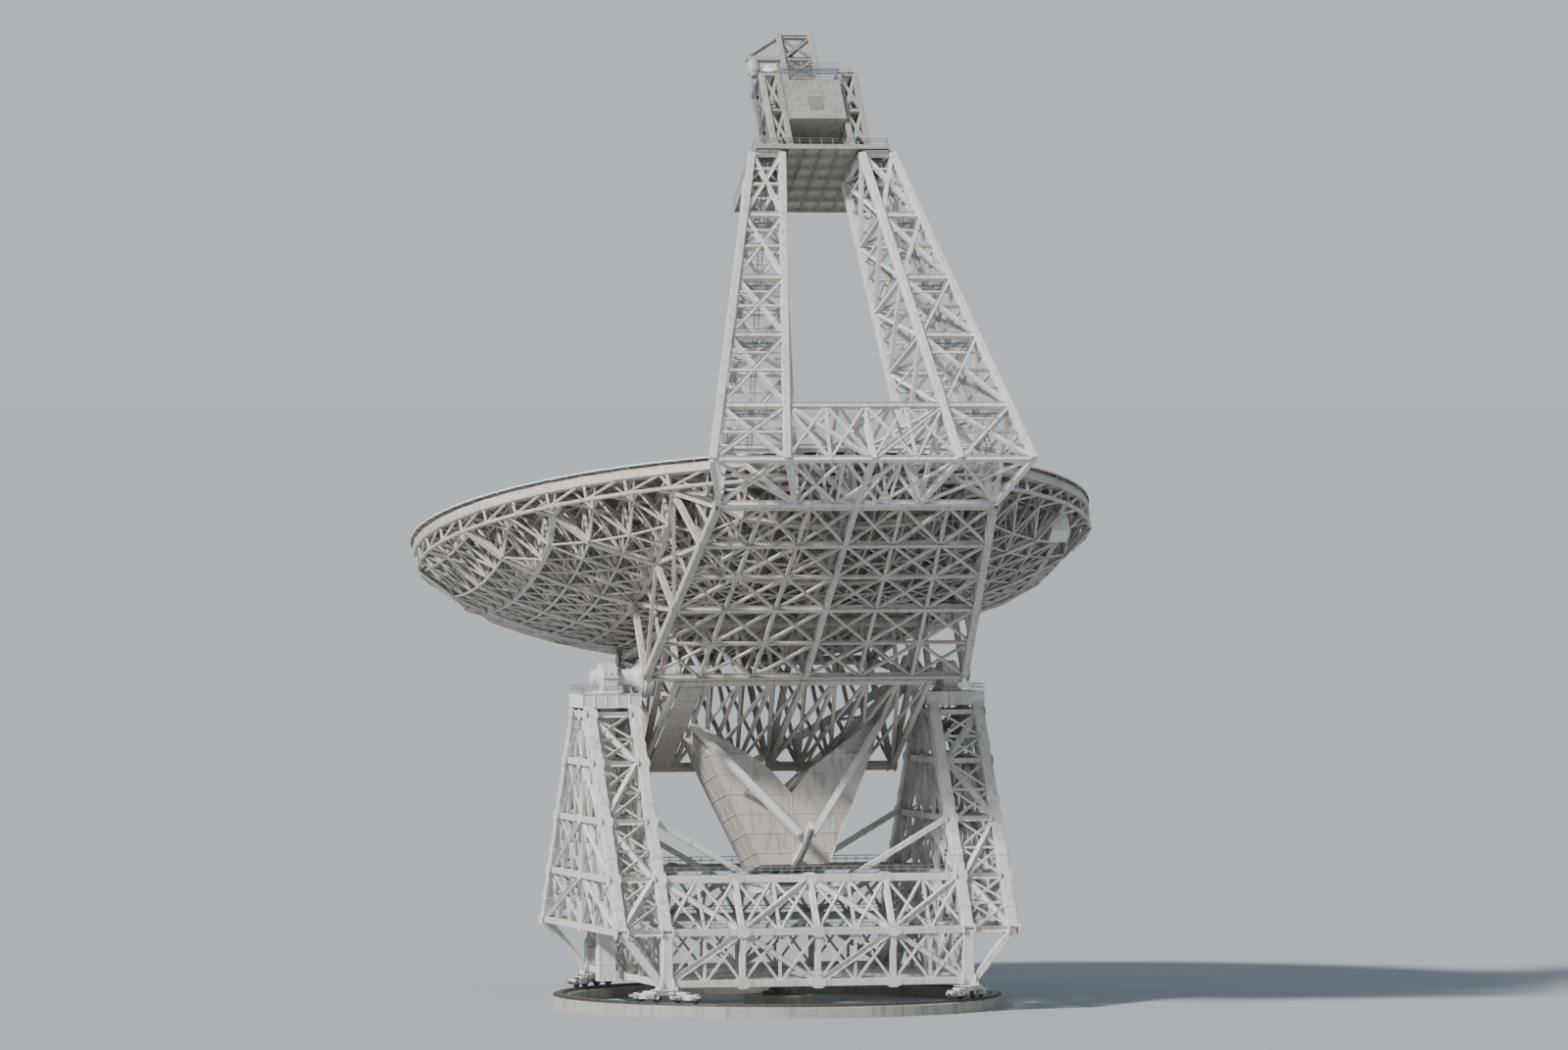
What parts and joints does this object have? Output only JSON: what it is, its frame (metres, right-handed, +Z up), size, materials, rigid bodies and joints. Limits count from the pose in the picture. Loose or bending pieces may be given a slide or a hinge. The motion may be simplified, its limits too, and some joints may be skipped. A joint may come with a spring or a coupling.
{
  "type": "radio telescope dish, 1:10 scale model",
  "caption": "Steerable offset dish radio telescope, lattice wheel-and-track mount with elevation wheel, box-truss feed arm and receiver cabin, as a scale model",
  "frame": {"origin": "on the azimuth axis, at ground level, at the middle of the pintle foundation's flat underside", "axes": "+Z up along the azimuth axis, +X along the elevation axle, +Y the way the dish points"},
  "size_m": [10.0212, 12.3777, 14.3003],
  "materials": {
    "concrete": "weathered grey concrete",
    "machinery": "grey painted machinery, satin, slightly worn",
    "white_steel": "off-white painted structural steel, matt, weather streaks",
    "reflector_panel": "white painted panels, matt"
  },
  "bodies": {
    "foundation": {"track_front_right": "concrete", "track_front_left": "concrete", "track_rear_left": "concrete", "track_rear_right": "concrete", "pintle_foundation": "concrete"},
    "alidade": {"truck_front_right": "machinery", "truck_front_left": "machinery", "truck_rear_left": "machinery", "truck_rear_right": "machinery", "base_truss_front": "white_steel", "base_truss_rear": "white_steel", "tower_inner_frame_left": "white_steel", "tower_outer_frame_left": "white_steel", "tower_inner_frame_right": "white_steel", "tower_outer_frame_right": "white_steel", "bearing_head_left": "machinery", "bearing_head_right": "machinery", "pintle_bearing_and_radial_beams": "machinery", "elevation_drive_platform": "machinery", "lift_shaft_left": "white_steel"},
    "tipping_structure": {"elevation_journal_left": "machinery", "elevation_journal_right": "machinery", "axle_box_rear_side": "white_steel", "axle_box_front_side": "white_steel", "axle_box_frame_left": "white_steel", "axle_box_frame_middle": "white_steel", "axle_box_frame_right": "white_steel", "elevation_wheel_rim": "machinery", "elevation_wheel_spokes_left": "white_steel", "elevation_wheel_spokes_right": "white_steel", "ballast_box_left": "white_steel", "ballast_box_right": "white_steel", "backup_structure_left_wing": "white_steel", "backup_structure_right_wing": "white_steel", "backup_structure_front": "white_steel", "backup_structure_rear": "white_steel", "reflector_middle": "reflector_panel", "reflector_sector_1": "reflector_panel", "reflector_sector_2": "reflector_panel", "reflector_sector_3": "reflector_panel", "reflector_sector_4": "reflector_panel", "reflector_sector_5": "reflector_panel", "reflector_sector_6": "reflector_panel", "reflector_sector_7": "reflector_panel", "reflector_sector_8": "reflector_panel", "feed_arm_floor": "white_steel", "feed_arm_side_left": "white_steel", "feed_arm_side_right": "white_steel", "feed_leg_left": "white_steel", "feed_leg_right": "white_steel", "feed_arm_end_frame": "white_steel", "feed_head_deck": "white_steel", "receiver_room": "white_steel", "rear_cabin": "white_steel", "subreflector": "reflector_panel", "subreflector_mast": "white_steel"}
  },
  "joints": [
    {"name": "azimuth_turn", "type": "hinge", "parent": "foundation", "child": "alidade", "pos_m": [0, 0, 0.2], "axis": [0, 0, 1], "range_deg": [-270, 270]},
    {"name": "elevation_tilt", "type": "hinge", "parent": "alidade", "child": "tipping_structure", "pos_m": [0, 0, 4.83], "axis": [1, 0, 0], "range_deg": [-49, 41]}
  ]
}
